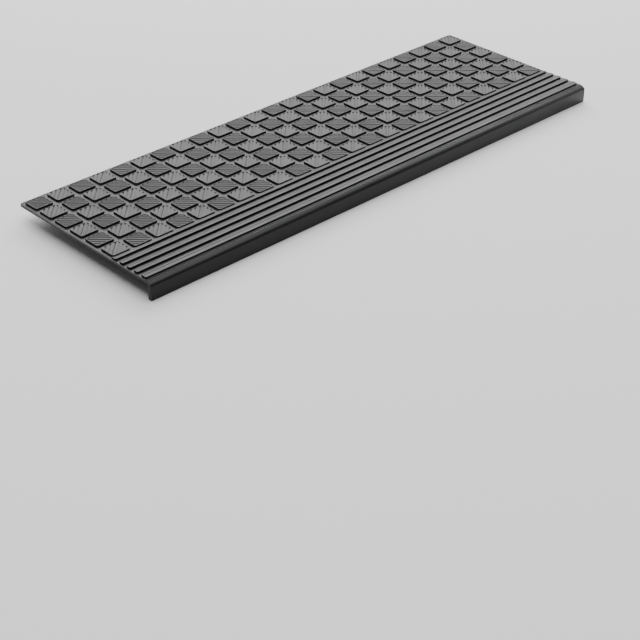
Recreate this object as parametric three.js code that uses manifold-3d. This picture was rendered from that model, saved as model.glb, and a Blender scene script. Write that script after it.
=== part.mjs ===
// Anti-slip stair tread mat, moulded in one piece from black rubber.
//
// A thin sheet lies on the step. Its upper face carries square pads whose ribs run on the diagonal,
// turned the other way from each pad to the next. In front of the pads are a land that rises towards
// the front, four long bars and a rounded shoulder, which turns down into a lip over the front of the
// step.
//
// Millimetres, +Z up. The origin is the middle of the flat underside that lies on the step. X runs
// along the step, and the lip is at -Y.

import * as THREE from 'three';
import { mergeVertices } from 'three/addons/utils/BufferGeometryUtils.js';
import Module from 'manifold-3d';

const wasm = await Module();
wasm.setup();

// Overall
const matLength = 750;
const matDepth = 250;
const matHeight = 25;
const sheetThickness = 2.8;
const backCornerRadius = 4;

// Pads, as many as fit between the end margins, the back margin and the land
const padColumnPitch = 31.1;
const padRowPitch = 29.7;
const padLength = 25.2;
const padDepth = 24.3;
const padHeight = 2.2;
const padCorner = 3;
const backMargin = 4;
const leastEndMargin = 4.5;
const leastLandDepth = 6;

// Ribs on the pads, as a zigzag
const ribPitch = 4.77;
const ribDepth = 0.6;

// Land and bars
const landBackHeight = 0.9;
const landUnderPad = 0.5;
const barCount = 4;
const barWidth = 8.15;
const frontBarWidth = 10.4;
const barGap = 4.8;
const barHeight = 2.2;
const barBackDraft = 2;
const barFrontDraft = 0.3;
const barEdge = 0.3;
const barEndMargin = 2.5;
const barLineWidth = 0.8;
const barLineDepth = 0.3;

// Shoulder and lip
const shoulderDepth = 11.2;
const shoulderRise = 0.4;
const shoulderDrop = 5.4;
const shoulderSteps = 9;
const shoulderRunUp = 3;
const shoulderGrooveAngle = 17;
const shoulderGrooveDepth = 0.4;
const shoulderRidgeAngle = 26;
const shoulderRidgeHeight = 0.3;
const shoulderLineHalfAngle = 3;
const lipThickness = 6;
const lipInnerRadius = 2;
const lipEdgeRadius = 1.6;

// How far a joined piece starts below the sheet's upper face, and how far a cut runs past what it cuts
const rootDepth = 0.8;
const cutMargin = 1;
const arcSteps = 6;

const frontY = -matDepth / 2;
const backY = matDepth / 2;
const lipFootZ = sheetThickness + barHeight - matHeight;
const barLength = matLength - 2 * barEndMargin;

// From the front: shoulder, front bar, the other bars, and the land's front edge
const shoulderBackY = frontY + shoulderDepth;
const frontBarBackY = shoulderBackY + frontBarWidth;
const firstBarBackY = frontBarBackY + (barCount - 1) * (barWidth + barGap);
const landFrontY = firstBarBackY + barGap;

// From the back: the rows of pads, with the land taking up the rest
const firstPadY = backY - backMargin - padDepth / 2;
const rowsRoom = firstPadY - padDepth / 2 - landFrontY - leastLandDepth;
const padRows = Math.floor(rowsRoom / padRowPitch) + 1;
const padFieldFrontY = firstPadY - (padRows - 1) * padRowPitch - padDepth / 2;
const columnsRoom = matLength - 2 * leastEndMargin - padLength;
const padColumns = Math.floor(columnsRoom / padColumnPitch) + 1;
const firstPadX = -(padColumns - 1) * padColumnPitch / 2;

/** A closed geometry as a solid for joining and cutting. */
function solidOf(geometry) {
  const bare = geometry.clone();
  bare.deleteAttribute('normal');
  bare.deleteAttribute('uv');
  const merged = mergeVertices(bare, 1e-4);
  return new wasm.Manifold(new wasm.Mesh({
    numProp: 3,
    vertProperties: new Float32Array(merged.attributes.position.array),
    triVerts: new Uint32Array(merged.index.array),
  }));
}

/** The solid back as a geometry. */
function geometryOf(solid) {
  const mesh = solid.getMesh();
  const geometry = new THREE.BufferGeometry();
  geometry.setAttribute('position', new THREE.BufferAttribute(new Float32Array(mesh.vertProperties), 3));
  geometry.setIndex(new THREE.BufferAttribute(new Uint32Array(mesh.triVerts), 1));
  geometry.computeVertexNormals();
  return geometry;
}

/** A section drawn with its first axis along Y and its second along Z, pulled out along X about x = 0. */
function pullAlongX(section, length) {
  const geometry = new THREE.ExtrudeGeometry(section, {
    depth: length, bevelEnabled: false, curveSegments: arcSteps,
  });
  geometry.applyMatrix4(new THREE.Matrix4().set(
    0, 0, 1, -length / 2,
    1, 0, 0, 0,
    0, 1, 0, 0,
    0, 0, 0, 1,
  ));
  return geometry;
}

/** A closed shape through points given as [first, second]. */
function shapeOf(points) {
  return new THREE.Shape(points.map(([first, second]) => new THREE.Vector2(first, second)));
}

/** A point of the shoulder's elliptical section, at an angle in degrees down from its top. */
function shoulderPoint(degrees, lift) {
  const angle = THREE.MathUtils.degToRad(degrees);
  const centreZ = sheetThickness + shoulderRise - shoulderDrop;
  return [
    shoulderBackY - (shoulderDepth + lift) * Math.sin(angle),
    centreZ + (shoulderDrop + lift) * Math.cos(angle),
  ];
}

/** The shoulder's section from its top to the lip's front face, with a fine groove and a fine ridge. */
function shoulderPoints() {
  const lines = [[shoulderGrooveAngle, -shoulderGrooveDepth], [shoulderRidgeAngle, shoulderRidgeHeight]];
  const marks = [];
  for (let i = 0; i <= shoulderSteps; i += 1) {
    const degrees = (i / shoulderSteps) * 90;
    const nearLine = lines.some(([line]) => Math.abs(line - degrees) <= 1.5 * shoulderLineHalfAngle);
    if (!nearLine) {
      marks.push([degrees, 0]);
    }
  }
  for (const [line, lift] of lines) {
    marks.push([line - shoulderLineHalfAngle, 0], [line, lift], [line + shoulderLineHalfAngle, 0]);
  }
  marks.sort((a, b) => a[0] - b[0]);
  return marks.map(([degrees, lift]) => shoulderPoint(degrees, lift));
}

/** The sheet, the shoulder and the lip as one section. */
function sheetSection() {
  const lipInnerY = frontY + lipThickness;
  const section = shapeOf([
    [backY + cutMargin, 0],
    [backY + cutMargin, sheetThickness],
    [shoulderBackY + shoulderRunUp, sheetThickness],
    ...shoulderPoints(),
  ]);
  section.lineTo(frontY, lipFootZ + lipEdgeRadius);
  section.absarc(frontY + lipEdgeRadius, lipFootZ + lipEdgeRadius, lipEdgeRadius, Math.PI, 1.5 * Math.PI, false);
  section.lineTo(lipInnerY - lipEdgeRadius, lipFootZ);
  section.absarc(lipInnerY - lipEdgeRadius, lipFootZ + lipEdgeRadius, lipEdgeRadius, 1.5 * Math.PI, 2 * Math.PI, false);
  section.lineTo(lipInnerY, -lipInnerRadius);
  section.absarc(lipInnerY + lipInnerRadius, -lipInnerRadius, lipInnerRadius, Math.PI, Math.PI / 2, true);
  section.closePath();
  return section;
}

/** The mat's outline seen from above, with the back corners rounded. */
function planOutline() {
  const halfLength = matLength / 2;
  const cornerX = halfLength - backCornerRadius;
  const cornerY = backY - backCornerRadius;
  const outline = new THREE.Shape();
  outline.moveTo(-halfLength, frontY - cutMargin);
  outline.lineTo(halfLength, frontY - cutMargin);
  outline.lineTo(halfLength, cornerY);
  outline.absarc(cornerX, cornerY, backCornerRadius, 0, Math.PI / 2, false);
  outline.lineTo(-cornerX, backY);
  outline.absarc(-cornerX, cornerY, backCornerRadius, Math.PI / 2, Math.PI, false);
  outline.closePath();
  return outline;
}

/** The sheet with its shoulder and lip, trimmed to the outline. */
function sheet() {
  const long = solidOf(pullAlongX(sheetSection(), matLength + 2 * cutMargin));
  const trim = new THREE.ExtrudeGeometry(planOutline(), {
    depth: matHeight + 2 * cutMargin, bevelEnabled: false, curveSegments: arcSteps,
  });
  trim.translate(0, 0, lipFootZ - cutMargin);
  return long.intersect(solidOf(trim));
}

/** What is cut from the top of a pad. A zigzag of ribs is left, whose outermost slopes are wider. */
function ribCut(leansRight) {
  const ridgeZ = sheetThickness + padHeight;
  const clearZ = ridgeZ + 2 * cutMargin;
  const cornerReach = ((padLength + padDepth) / 2 - padCorner) / Math.SQRT2;
  const lastValley = 2 * Math.round(cornerReach / ribPitch) - 1;
  const points = [[-cornerReach - cutMargin, ridgeZ]];
  for (let i = -lastValley; i <= lastValley; i += 1) {
    points.push([i * ribPitch / 2, i % 2 === 0 ? ridgeZ : ridgeZ - ribDepth]);
  }
  points.push([cornerReach + cutMargin, ridgeZ], [cornerReach + cutMargin, clearZ]);
  points.push([-cornerReach - cutMargin, clearZ]);
  const cut = pullAlongX(shapeOf(points), padLength + padDepth);
  cut.rotateZ(leansRight ? Math.PI / 4 : -Math.PI / 4);
  return cut;
}

/** One pad about its own centre, with its corners cut off and its top ribbed. */
function pad(leansRight) {
  const halfLength = padLength / 2;
  const halfDepth = padDepth / 2;
  const outline = shapeOf([
    [-halfLength + padCorner, -halfDepth],
    [halfLength - padCorner, -halfDepth],
    [halfLength, -halfDepth + padCorner],
    [halfLength, halfDepth - padCorner],
    [halfLength - padCorner, halfDepth],
    [-halfLength + padCorner, halfDepth],
    [-halfLength, halfDepth - padCorner],
    [-halfLength, -halfDepth + padCorner],
  ]);
  const block = new THREE.ExtrudeGeometry(outline, {
    depth: rootDepth + padHeight + cutMargin, bevelEnabled: false,
  });
  block.translate(0, 0, sheetThickness - rootDepth);
  return solidOf(block).subtract(solidOf(ribCut(leansRight)));
}

/** A front wall as high as the bars, from its top edge down to its root, as part of a section. */
function frontWall(frontFootY) {
  const topZ = sheetThickness + barHeight;
  return [
    [frontFootY + barFrontDraft + barEdge, topZ],
    [frontFootY + barFrontDraft, topZ - barEdge],
    [frontFootY, sheetThickness],
    [frontFootY, sheetThickness - rootDepth],
  ];
}

/** The land that the front row of pads runs into, rising from there to its front wall. */
function land() {
  const landBackY = padFieldFrontY + landUnderPad;
  const section = shapeOf([
    [landBackY, sheetThickness - rootDepth],
    [landBackY, sheetThickness + landBackHeight],
    ...frontWall(landFrontY),
  ]);
  return pullAlongX(section, barLength);
}

/** One long bar, ramped at the back and steep in front, with a fine line along the middle of its top. */
function bar(backFootY, width) {
  const frontFootY = backFootY - width;
  const middleY = (backFootY + frontFootY) / 2;
  const topZ = sheetThickness + barHeight;
  const section = shapeOf([
    [backFootY, sheetThickness - rootDepth],
    [backFootY, sheetThickness],
    [backFootY - barBackDraft, topZ],
    [middleY + barLineWidth / 2, topZ],
    [middleY, topZ - barLineDepth],
    [middleY - barLineWidth / 2, topZ],
    ...frontWall(frontFootY),
  ]);
  return pullAlongX(section, barLength);
}

/** The whole moulding. */
function treadMat() {
  let solid = sheet().add(solidOf(land())).add(solidOf(bar(frontBarBackY, frontBarWidth)));
  for (let i = 0; i < barCount - 1; i += 1) {
    solid = solid.add(solidOf(bar(firstBarBackY - i * (barWidth + barGap), barWidth)));
  }
  const pads = [pad(false), pad(true)];
  for (let column = 0; column < padColumns; column += 1) {
    for (let row = 0; row < padRows; row += 1) {
      const x = firstPadX + column * padColumnPitch;
      const y = firstPadY - row * padRowPitch;
      solid = solid.add(pads[(column + row) % 2].translate([x, y, 0]));
    }
  }
  return solid;
}

const rubber = new THREE.MeshStandardMaterial({
  name: 'moulded_rubber', color: 0x303032, roughness: 0.6, metalness: 0,
});

const mat = new THREE.Mesh(geometryOf(treadMat()), rubber);
mat.name = 'tread_mat';

const stairTreadMat = new THREE.Group();
stairTreadMat.add(mat);

export default stairTreadMat;
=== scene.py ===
import bmesh
import bpy
import math
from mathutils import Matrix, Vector


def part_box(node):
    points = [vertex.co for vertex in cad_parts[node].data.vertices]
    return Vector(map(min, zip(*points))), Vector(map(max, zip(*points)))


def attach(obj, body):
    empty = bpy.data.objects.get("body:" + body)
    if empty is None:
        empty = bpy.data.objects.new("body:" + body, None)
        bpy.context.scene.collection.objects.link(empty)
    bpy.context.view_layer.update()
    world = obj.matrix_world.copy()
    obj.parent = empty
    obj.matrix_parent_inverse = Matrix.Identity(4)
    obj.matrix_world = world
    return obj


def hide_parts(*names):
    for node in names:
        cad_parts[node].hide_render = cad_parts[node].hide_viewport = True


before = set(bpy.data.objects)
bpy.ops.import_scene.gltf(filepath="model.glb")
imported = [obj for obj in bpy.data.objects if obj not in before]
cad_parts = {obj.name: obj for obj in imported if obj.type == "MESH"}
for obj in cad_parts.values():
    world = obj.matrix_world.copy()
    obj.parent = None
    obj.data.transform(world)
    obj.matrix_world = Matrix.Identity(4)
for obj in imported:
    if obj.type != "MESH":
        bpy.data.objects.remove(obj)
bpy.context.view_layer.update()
matLow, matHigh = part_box("tread_mat")
mm = 0.001
halfLength = matHigh.x
frontY = matLow.y
backY = matHigh.y
lipFootZ = matLow.z
barTopZ = matHigh.z


# Camera

cameraView = {
    "azimuth": -43.46,              # degrees, 0 looks along +Y
    "elevation": 32.75,
    "distance": 1.6404,             # metres from the aim point
    "aim": (-0.2885, -0.3006, 0.0),  # the middle of the picture, where it meets the mat's underside plane
    "lens": 88.0,                   # mm on a 36 mm wide sensor
}


def viewBack(azimuth, elevation):
    a = math.radians(azimuth)
    e = math.radians(elevation)
    return Vector((math.sin(a) * math.cos(e), -math.cos(a) * math.cos(e), math.sin(e)))


def makeCamera():
    back = viewBack(cameraView["azimuth"], cameraView["elevation"])
    data = bpy.data.cameras.new("camera")
    data.lens = cameraView["lens"]
    data.sensor_width = 36
    data.clip_start = 0.05
    data.clip_end = 60
    camera = bpy.data.objects.new("camera", data)
    camera.rotation_mode = "QUATERNION"
    camera.location = Vector(cameraView["aim"]) + back * cameraView["distance"]
    camera.rotation_quaternion = back.to_track_quat("Z", "Y")
    bpy.context.scene.collection.objects.link(camera)
    bpy.context.scene.camera = camera
    print("camera done")


# Mesh helpers

def meshObject(name, points, faces):
    mesh = bpy.data.meshes.new(name)
    mesh.from_pydata(points, [], faces)
    mesh.update()
    obj = bpy.data.objects.new(name, mesh)
    bpy.context.scene.collection.objects.link(obj)
    return obj


def turnFacesOut(obj):
    bm = bmesh.new()
    bm.from_mesh(obj.data)
    bmesh.ops.recalc_face_normals(bm, faces=bm.faces)
    bm.to_mesh(obj.data)
    bm.free()


def roundEdges(obj, radius, sharperThan):
    # rounds every edge that turns more than so many degrees, and sets the faces to point out
    bm = bmesh.new()
    bm.from_mesh(obj.data)
    bmesh.ops.recalc_face_normals(bm, faces=bm.faces)
    limit = math.radians(sharperThan)
    edges = [e for e in bm.edges if e.calc_face_angle(0) > limit]
    bmesh.ops.bevel(bm, geom=edges, offset=radius, segments=2, profile=0.5,
                    affect="EDGES", clamp_overlap=True)
    bmesh.ops.recalc_face_normals(bm, faces=bm.faces)
    bm.to_mesh(obj.data)
    bm.free()


def filleted(corners, steps=3):
    # corners are (y, z, radius); each one is swapped for an arc of that radius
    points = []
    count = len(corners)
    for i, (y, z, radius) in enumerate(corners):
        here = Vector((y, z))
        before = Vector(corners[i - 1][:2]) - here
        after = Vector(corners[(i + 1) % count][:2]) - here
        if radius <= 0:
            points.append((y, z))
            continue
        half = before.angle(after) / 2
        reach = radius / math.tan(half)
        start = here + before.normalized() * reach
        end = here + after.normalized() * reach
        middle = (before.normalized() + after.normalized()).normalized()
        centre = here + middle * (radius / math.sin(half))
        turn = math.pi - 2 * half
        for k in range(steps + 1):
            share = k / steps
            a = math.sin((1 - share) * turn) / math.sin(turn)
            b = math.sin(share * turn) / math.sin(turn)
            point = centre + (start - centre) * a + (end - centre) * b
            points.append((point.x, point.y))
    return points


def prismAlongX(name, outline, halfX):
    # a closed solid with the (y, z) outline as its section
    count = len(outline)
    points = [(-halfX, y, z) for y, z in outline] + [(halfX, y, z) for y, z in outline]
    faces = [(k, (k + 1) % count, count + (k + 1) % count, count + k) for k in range(count)]
    faces.append(tuple(range(count)))
    faces.append(tuple(range(count, 2 * count)))
    return meshObject(name, points, faces)


def roundedSlab(name, lowY, highY, halfX, radius, lowZ, highZ, steps=4):
    # a closed upright slab whose four corners are rounded in plan
    middleY = (lowY + highY) / 2
    cornerX = halfX - radius
    cornerY = (highY - lowY) / 2 - radius
    plan = []
    for signX, signY, start in ((1, 1, 0), (-1, 1, 90), (-1, -1, 180), (1, -1, 270)):
        for k in range(steps + 1):
            a = math.radians(start + 90 * k / steps)
            plan.append((signX * cornerX + radius * math.cos(a),
                         middleY + signY * cornerY + radius * math.sin(a)))
    count = len(plan)
    points = [(x, y, lowZ) for x, y in plan] + [(x, y, highZ) for x, y in plan]
    faces = [(k, (k + 1) % count, count + (k + 1) % count, count + k) for k in range(count)]
    faces.append(tuple(reversed(range(count))))
    faces.append(tuple(range(count, 2 * count)))
    return meshObject(name, points, faces)


def combine(obj, other, operation):
    boolean = obj.modifiers.new("join", "BOOLEAN")
    boolean.operation = operation
    boolean.solver = "MANIFOLD"
    boolean.object = other
    graph = bpy.context.evaluated_depsgraph_get()
    joined = bpy.data.meshes.new_from_object(obj.evaluated_get(graph))
    obj.modifiers.clear()
    obj.data = joined
    bpy.data.objects.remove(other)


# Sheet with its shoulder and lip

sheetSize = {
    "thickness": 2.8,
    "cornerRadius": 4.0,
    "cornerSteps": 6,
    "edgeRadius": 0.35,
    "lipThickness": 6.0,
    "lipInnerRadius": 2.0,
    "lipEdgeRadius": 1.6,
    "shoulderRise": 0.4,
    "shoulderDrop": 5.4,
    "shoulderRunUp": 3.0,
    "shoulderSteps": 18,
    "lines": ((17, -0.4), (26, 0.3)),   # degrees down from the shoulder's top, and the line's height
    "lineHalfAngle": 3,
}
sheetTopZ = sheetSize["thickness"] * mm


def shoulderOutline(shoulderBackY):
    size = sheetSize
    marks = []
    for k in range(size["shoulderSteps"] + 1):
        degrees = 90 * k / size["shoulderSteps"]
        if all(abs(degrees - line) > 1.2 * size["lineHalfAngle"] for line, height in size["lines"]):
            marks.append((degrees, 0))
    for line, height in size["lines"]:
        for share, lift in ((-1, 0), (-0.4, 0.85), (0, 1), (0.4, 0.85), (1, 0)):
            marks.append((line + share * size["lineHalfAngle"], lift * height * mm))
    reach = shoulderBackY - frontY
    drop = size["shoulderDrop"] * mm
    centreZ = sheetTopZ + size["shoulderRise"] * mm - drop
    points = []
    for degrees, lift in sorted(marks):
        a = math.radians(degrees)
        points.append((shoulderBackY - (reach + lift) * math.sin(a), centreZ + (drop + lift) * math.cos(a)))
    return points


def arc(centreY, centreZ, radius, fromDegrees, toDegrees, steps):
    points = []
    for k in range(steps + 1):
        a = math.radians(fromDegrees + (toDegrees - fromDegrees) * k / steps)
        points.append((centreY + radius * math.cos(a), centreZ + radius * math.sin(a)))
    return points


def makeSheet(shoulderBackY):
    size = sheetSize
    corner = size["cornerRadius"] * mm
    cornerY = backY - corner
    edge = size["lipEdgeRadius"] * mm
    inner = size["lipInnerRadius"] * mm
    innerY = frontY + size["lipThickness"] * mm
    turns = [math.radians(90 * k / size["cornerSteps"]) for k in range(size["cornerSteps"] + 1)]
    cornerPlan = [(cornerY + corner * math.sin(t), halfLength - corner * (1 - math.cos(t))) for t in turns]
    top = [(y, sheetTopZ) for y, x in reversed(cornerPlan)]
    bottom = [(y, 0.0) for y, x in cornerPlan]
    front = [(shoulderBackY + size["shoulderRunUp"] * mm, sheetTopZ)]
    front += shoulderOutline(shoulderBackY)
    front += arc(frontY + edge, lipFootZ + edge, edge, 180, 270, 4)
    front += arc(innerY - edge, lipFootZ + edge, edge, 270, 360, 4)
    front += arc(innerY + inner, -inner, inner, 180, 90, 4)
    outline = top + front + bottom
    reachX = [x for y, x in reversed(cornerPlan)] + [halfLength] * len(front) + [x for y, x in cornerPlan]
    count = len(outline)
    points = [(-x, y, z) for x, (y, z) in zip(reachX, outline)]
    points += [(x, y, z) for x, (y, z) in zip(reachX, outline)]
    faces = [(k, (k + 1) % count, count + (k + 1) % count, count + k) for k in range(count)]
    steps = size["cornerSteps"]
    for first in (0, count):
        faces.append(tuple(first + k for k in range(steps, count - steps)))
        for k in range(steps):
            faces.append((first + k, first + k + 1, first + count - 2 - k, first + count - 1 - k))
    sheet = meshObject("treadMat", points, faces)
    roundEdges(sheet, size["edgeRadius"] * mm, sharperThan=75)
    print("sheet done")
    return sheet


# Pads with diagonal ribs

padSize = {
    "columns": 24,
    "rows": 6,
    "columnPitch": 31.1,
    "rowPitch": 29.7,
    "length": 25.2,
    "depth": 24.3,
    "height": 2.2,
    "corner": 3.0,
    "cornerSteps": 3,
    "backMargin": 4.0,
    "topEdge": 0.3,                 # rounding at the top of the walls
    "rim": 1.2,                     # level edge around the ribs
    "rimSlope": 0.2,                # from the rim down into a valley
    "footFillet": 0.4,
    "footSink": 0.02,               # the fillet ends just under the sheet's face, so the two solids cross
    "ribPitch": 4.77,
    "ribDepth": 0.9,
    "ridgeShare": 0.28,             # the part of a pitch that is ridge top
    "valleyShare": 0.06,
    "rootDepth": 0.8,               # how far a pad starts below the sheet's face
}


def ribLines():
    # distances from the pad's diagonal where the rib's height changes slope, with the height there
    size = padSize
    half = (size["length"] + size["depth"]) / 2 / math.sqrt(2)
    reach = math.ceil(half / size["ribPitch"])
    lines = []
    for k in range(-reach, reach + 1):
        lines.append((k - size["ridgeShare"] / 2, 0.0))
        lines.append((k + size["ridgeShare"] / 2, 0.0))
        lines.append((k + 0.5 - size["valleyShare"] / 2, -size["ribDepth"]))
        lines.append((k + 0.5 + size["valleyShare"] / 2, -size["ribDepth"]))
    return [(share * size["ribPitch"], z) for share, z in lines]


def ribHeight(s, lines):
    for (a, za), (b, zb) in zip(lines, lines[1:]):
        if a <= s <= b:
            return za + (zb - za) * (s - a) / (b - a)
    return 0.0


def padOutline(inset):
    size = padSize
    radius = size["corner"] - inset
    cornerX = size["length"] / 2 - size["corner"]
    cornerY = size["depth"] / 2 - size["corner"]
    points = []
    for signX, signY, start in ((1, 1, 0), (-1, 1, 90), (-1, -1, 180), (1, -1, 270)):
        for k in range(size["cornerSteps"] + 1):
            a = math.radians(start + 90 * k / size["cornerSteps"])
            points.append((signX * cornerX + radius * math.cos(a), signY * cornerY + radius * math.sin(a)))
    return points


def padShell(lean):
    # one closed pad about its own centre, in mm; lean is 1 for ribs to the back right, -1 to the back left
    size = padSize
    lines = ribLines()
    outline = padOutline(size["rim"])

    def across(p):
        return (p[1] - lean * p[0]) / math.sqrt(2)

    ring = []
    for p, q in zip(outline, outline[1:] + outline[:1]):
        ring.append(p)
        sp, sq = across(p), across(q)
        shares = [(c - sp) / (sq - sp) for c, z in lines if (c - sp) * (c - sq) < -1e-9]
        for share in sorted(shares):
            ring.append((p[0] + (q[0] - p[0]) * share, p[1] + (q[1] - p[1]) * share))
    count = len(ring)

    innerX = size["length"] / 2 - size["corner"]
    innerY = size["depth"] / 2 - size["corner"]
    base = sheetSize["thickness"]
    top = base + size["height"]
    bevel = size["topEdge"]
    fillet = size["footFillet"]
    points = []
    heights = [top + ribHeight(across(p), lines) for p in ring]
    levels = [
        (-size["rim"], lambda z: z),
        (size["rimSlope"] - size["rim"], lambda z: top),
        (-bevel, lambda z: top),
        (0.0, lambda z: top - bevel),
        (0.0, lambda z: base + fillet),
        (fillet, lambda z: base - size["footSink"]),
        (fillet, lambda z: base - size["rootDepth"]),
    ]
    for offset, level in levels:
        for p, z in zip(ring, heights):
            centre = Vector((max(-innerX, min(innerX, p[0])), max(-innerY, min(innerY, p[1]))))
            out = (Vector(p) - centre).normalized()
            place = centre + out * (size["corner"] + offset)
            points.append((place.x, place.y, level(z)))
    faces = []
    for (a, za), (b, zb) in zip(lines, lines[1:]):
        strip = [i for i, p in enumerate(ring) if a - 1e-6 <= across(p) <= b + 1e-6]
        if len(strip) > 2:
            faces.append(tuple(strip))
    for level in range(len(levels) - 1):
        for i in range(count):
            j = (i + 1) % count
            faces.append((level * count + i, (level + 1) * count + i,
                          (level + 1) * count + j, level * count + j))
    faces.append(tuple((len(levels) - 1) * count + i for i in reversed(range(count))))
    return points, faces


def makePads():
    size = padSize
    shells = {-1: padShell(-1), 1: padShell(1)}
    points, faces = [], []
    firstX = -(size["columns"] - 1) * size["columnPitch"] / 2
    firstY = backY / mm - size["backMargin"] - size["depth"] / 2
    for column in range(size["columns"]):
        for row in range(size["rows"]):
            lean = 1 if (column + row) % 2 else -1
            shellPoints, shellFaces = shells[lean]
            start = len(points)
            x = firstX + column * size["columnPitch"]
            y = firstY - row * size["rowPitch"]
            points += [((px + x) * mm, (py + y) * mm, pz * mm) for px, py, pz in shellPoints]
            faces += [tuple(start + i for i in face) for face in shellFaces]
    pads = meshObject("pads", points, faces)
    turnFacesOut(pads)
    print("pads done")
    return pads


# Land and bars

barSize = {
    "landDepth": 7.95,
    "landBackHeight": 0.9,
    "landUnderPad": 0.5,
    "count": 4,
    "width": 8.15,
    "frontWidth": 10.4,
    "gap": 4.8,
    "backDraft": 2.0,
    "frontDraft": 0.3,
    "backRadius": 1.5,
    "frontRadius": 0.35,
    "endMargin": 2.5,
    "endRadius": 2.5,
    "endClear": 0.05,               # how far the slab that rounds the ends stands clear in front and behind
    "endAbove": 2.0,                # and above
    "lineWidth": 0.5,
    "lineDepth": 0.12,
}


def barPlaces():
    # the pads' front, and for each bar its back foot and its width, in metres
    pad, bar = padSize, barSize
    padFrontY = backY - (pad["backMargin"] + pad["depth"] + (pad["rows"] - 1) * pad["rowPitch"]) * mm
    places = []
    y = padFrontY - (bar["landDepth"] + bar["gap"]) * mm
    for k in range(bar["count"]):
        width = (bar["frontWidth"] if k == bar["count"] - 1 else bar["width"]) * mm
        places.append((y, width))
        y -= width + bar["gap"] * mm
    return padFrontY, places


def roundEnds(piece, lowY, highY):
    # rounds the corners in plan by keeping only what lies in a rounded slab
    bar = barSize
    clear = bar["endClear"] * mm
    slab = roundedSlab("ends", lowY - clear, highY + clear, halfLength - bar["endMargin"] * mm,
                       bar["endRadius"] * mm, 0.0, barTopZ + bar["endAbove"] * mm)
    combine(piece, slab, "INTERSECT")


def makeLand(padFrontY):
    bar = barSize
    rootZ = sheetTopZ - padSize["rootDepth"] * mm
    landBackY = padFrontY + bar["landUnderPad"] * mm
    landFrontY = padFrontY - bar["landDepth"] * mm
    outline = filleted([
        (landBackY, rootZ, 0),
        (landBackY, sheetTopZ + bar["landBackHeight"] * mm, 0),
        (landFrontY + bar["frontDraft"] * mm, barTopZ, bar["frontRadius"] * mm),
        (landFrontY, sheetTopZ, 0),
        (landFrontY, rootZ, 0),
    ])
    land = prismAlongX("land", outline, halfLength - bar["endMargin"] * mm)
    turnFacesOut(land)
    # the slab runs on behind the land, so that only the front corners are rounded
    roundEnds(land, landFrontY, landBackY + 2 * bar["endRadius"] * mm)
    return land


def makeBar(backFootY, width):
    bar = barSize
    rootZ = sheetTopZ - padSize["rootDepth"] * mm
    frontFootY = backFootY - width
    middleY = (backFootY + frontFootY) / 2
    outline = filleted([
        (backFootY, rootZ, 0),
        (backFootY, sheetTopZ, 0),
        (backFootY - bar["backDraft"] * mm, barTopZ, bar["backRadius"] * mm),
        (middleY + bar["lineWidth"] / 2 * mm, barTopZ, 0),
        (middleY, barTopZ - bar["lineDepth"] * mm, 0),
        (middleY - bar["lineWidth"] / 2 * mm, barTopZ, 0),
        (frontFootY + bar["frontDraft"] * mm, barTopZ, bar["frontRadius"] * mm),
        (frontFootY, sheetTopZ, 0),
        (frontFootY, rootZ, 0),
    ], steps=4)
    piece = prismAlongX("bar", outline, halfLength - bar["endMargin"] * mm)
    turnFacesOut(piece)
    roundEnds(piece, frontFootY, backFootY)
    return piece


# Rubber

def toLinear(hexColour):
    channels = [int(hexColour[k:k + 2], 16) / 255 for k in (1, 3, 5)]
    return [c / 12.92 if c <= 0.04045 else ((c + 0.055) / 1.055) ** 2.4 for c in channels] + [1.0]


def addNode(tree, kind, settings=None, links=None):
    node = tree.nodes.new(kind)
    for name, value in (settings or {}).items():
        if name in node.inputs:
            node.inputs[name].default_value = value
        else:
            setattr(node, name, value)
    for name, source in (links or {}).items():
        tree.links.new(source, node.inputs[name])
    return node


rubberLook = {
    "colour": "#101011",            # carbon black rubber, a little lighter where it is dusty
    "dustColour": "#171718",
    "roughness": (0.34, 0.42),
    "ior": 1.52,                    # typical of moulded rubber
    "specular": 0.25,               # under 0.5, because the fine mould grain scatters part of the sheen
    "grainSize": 0.9,               # mm; the real mould grain is about 0.2 mm, too fine to show
    "grainDepth": 0.012,            # mm
    "cloudSize": 45.0,              # mm, slow changes in sheen from the mould release
}


def mouldedRubber():
    # compression moulded black rubber: dark, with a soft sheen where light grazes it
    look = rubberLook
    material = bpy.data.materials.new("mouldedBlackRubber")
    material.use_nodes = True
    tree = material.node_tree
    tree.nodes.clear()
    place = addNode(tree, "ShaderNodeTexCoord").outputs["Object"]
    cloud = addNode(tree, "ShaderNodeTexNoise",
                    {"Scale": 1 / (look["cloudSize"] * mm), "Detail": 3.0, "Roughness": 0.55},
                    {"Vector": place}).outputs["Fac"]
    grain = addNode(tree, "ShaderNodeTexNoise",
                    {"Scale": 1 / (look["grainSize"] * mm), "Detail": 2.0, "Roughness": 0.6},
                    {"Vector": place}).outputs["Fac"]
    colour = addNode(tree, "ShaderNodeMix", {"data_type": "RGBA"})
    colour.inputs[6].default_value = toLinear(look["colour"])
    colour.inputs[7].default_value = toLinear(look["dustColour"])
    tree.links.new(cloud, colour.inputs[0])
    low, high = look["roughness"]
    roughness = addNode(tree, "ShaderNodeMapRange",
                        {"From Min": 0.3, "From Max": 0.7, "To Min": low, "To Max": high},
                        {"Value": cloud}).outputs["Result"]
    bump = addNode(tree, "ShaderNodeBump",
                   {"Strength": 1.0, "Distance": look["grainDepth"] * mm},
                   {"Height": grain}).outputs["Normal"]
    shader = addNode(tree, "ShaderNodeBsdfPrincipled",
                     {"IOR": look["ior"], "Metallic": 0.0, "Specular IOR Level": look["specular"]},
                     {"Base Color": colour.outputs[2], "Roughness": roughness, "Normal": bump})
    addNode(tree, "ShaderNodeOutputMaterial", links={"Surface": shader.outputs["BSDF"]})
    return material


# The whole mat

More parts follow.
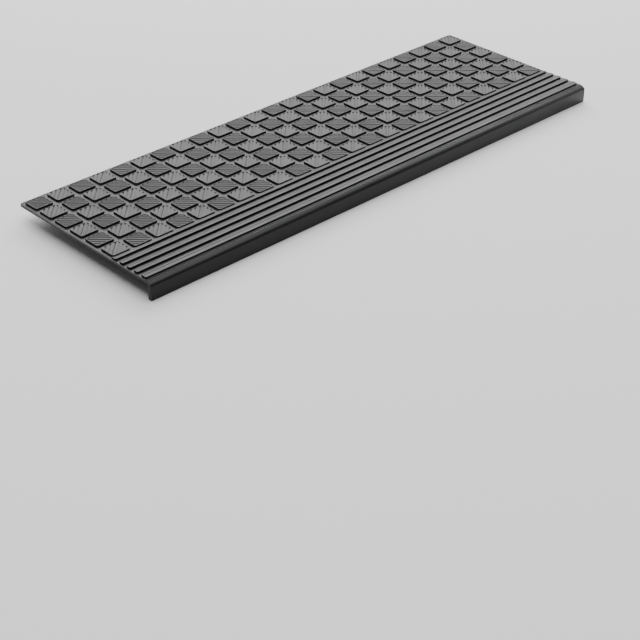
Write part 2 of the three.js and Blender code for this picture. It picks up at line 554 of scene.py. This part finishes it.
shading = {
    "levelFrom": 0.9995,            # the upright share of a normal from which a face counts as level
    "sharpFrom": 38,                # degrees between two faces
}


def shadeMat(mat):
    # level faces stay flat, so that fillets beside them don't shade them
    for face in mat.data.polygons:
        face.use_smooth = abs(face.normal.z) < shading["levelFrom"]
    mat.data.set_sharp_from_angle(angle=math.radians(shading["sharpFrom"]))


def makeMat():
    padFrontY, bars = barPlaces()
    lastBack, lastWidth = bars[-1]
    mat = makeSheet(lastBack - lastWidth)
    combine(mat, makePads(), "UNION")
    combine(mat, makeLand(padFrontY), "UNION")
    for backFootY, width in bars:
        combine(mat, makeBar(backFootY, width), "UNION")
    shadeMat(mat)
    mat.data.materials.clear()
    mat.data.materials.append(mouldedRubber())
    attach(mat, "root")
    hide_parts("tread_mat")
    mat.data.calc_loop_triangles()
    print("mat done,", len(mat.data.loop_triangles), "triangles")
    return mat


# Floor and light

stageLook = {
    "floorColour": "#f4f4f4",
    "floorSize": 40.0,
    "backWay": (0.69, 0.72, 0.0),   # level, away from the camera
    "backSky": "#ffffff",           # a large white screen behind the mat
    "frontSky": "#505050",          # the dim room on the camera's side
    "skyStrength": 1.6,
    "skyTurn": (0.15, 0.8),         # the sky brightens between these, where 1 faces the screen
    "floorRoughness": 0.9,
    "floorSpecular": 0.1,
}
lights = [
    # name, azimuth and elevation of where it stands, distance, size, watts
    ("sheenBox", 136, 34, 2.2, (2.4, 1.0), 40),
    ("topBox", 0, 90, 5.0, (5.0, 5.0), 260),
]


def makeStage():
    half = stageLook["floorSize"] / 2
    floor = meshObject("floor", [(-half, -half, lipFootZ), (half, -half, lipFootZ),
                                 (half, half, lipFootZ), (-half, half, lipFootZ)], [(0, 1, 2, 3)])
    material = bpy.data.materials.new("paleMattPaper")
    material.use_nodes = True
    shader = material.node_tree.nodes["Principled BSDF"]
    shader.inputs["Base Color"].default_value = toLinear(stageLook["floorColour"])
    shader.inputs["Roughness"].default_value = stageLook["floorRoughness"]
    shader.inputs["Specular IOR Level"].default_value = stageLook["floorSpecular"]
    floor.data.materials.append(material)
    world = bpy.data.worlds.new("studio")
    world.use_nodes = True
    tree = world.node_tree
    background = tree.nodes["Background"]
    background.inputs["Strength"].default_value = stageLook["skyStrength"]
    way = addNode(tree, "ShaderNodeTexCoord").outputs["Generated"]
    facing = addNode(tree, "ShaderNodeVectorMath", {"operation": "DOT_PRODUCT"})
    tree.links.new(way, facing.inputs[0])
    facing.inputs[1].default_value = stageLook["backWay"]
    low, high = stageLook["skyTurn"]
    share = addNode(tree, "ShaderNodeMapRange", {"From Min": low, "From Max": high},
                    {"Value": facing.outputs["Value"]}).outputs["Result"]
    sky = addNode(tree, "ShaderNodeMix", {"data_type": "RGBA"})
    sky.inputs[6].default_value = toLinear(stageLook["frontSky"])
    sky.inputs[7].default_value = toLinear(stageLook["backSky"])
    tree.links.new(share, sky.inputs[0])
    tree.links.new(sky.outputs[2], background.inputs["Color"])
    bpy.context.scene.world = world
    for name, azimuth, elevation, distance, (width, height), watts in lights:
        back = viewBack(azimuth, elevation)
        data = bpy.data.lights.new(name, "AREA")
        data.shape = "RECTANGLE"
        data.size = width
        data.size_y = height
        data.energy = watts
        light = bpy.data.objects.new(name, data)
        light.rotation_mode = "QUATERNION"
        light.location = back * distance
        light.rotation_quaternion = back.to_track_quat("Z", "Y")
        bpy.context.scene.collection.objects.link(light)
    print("stage done")


makeCamera()
makeMat()
makeStage()
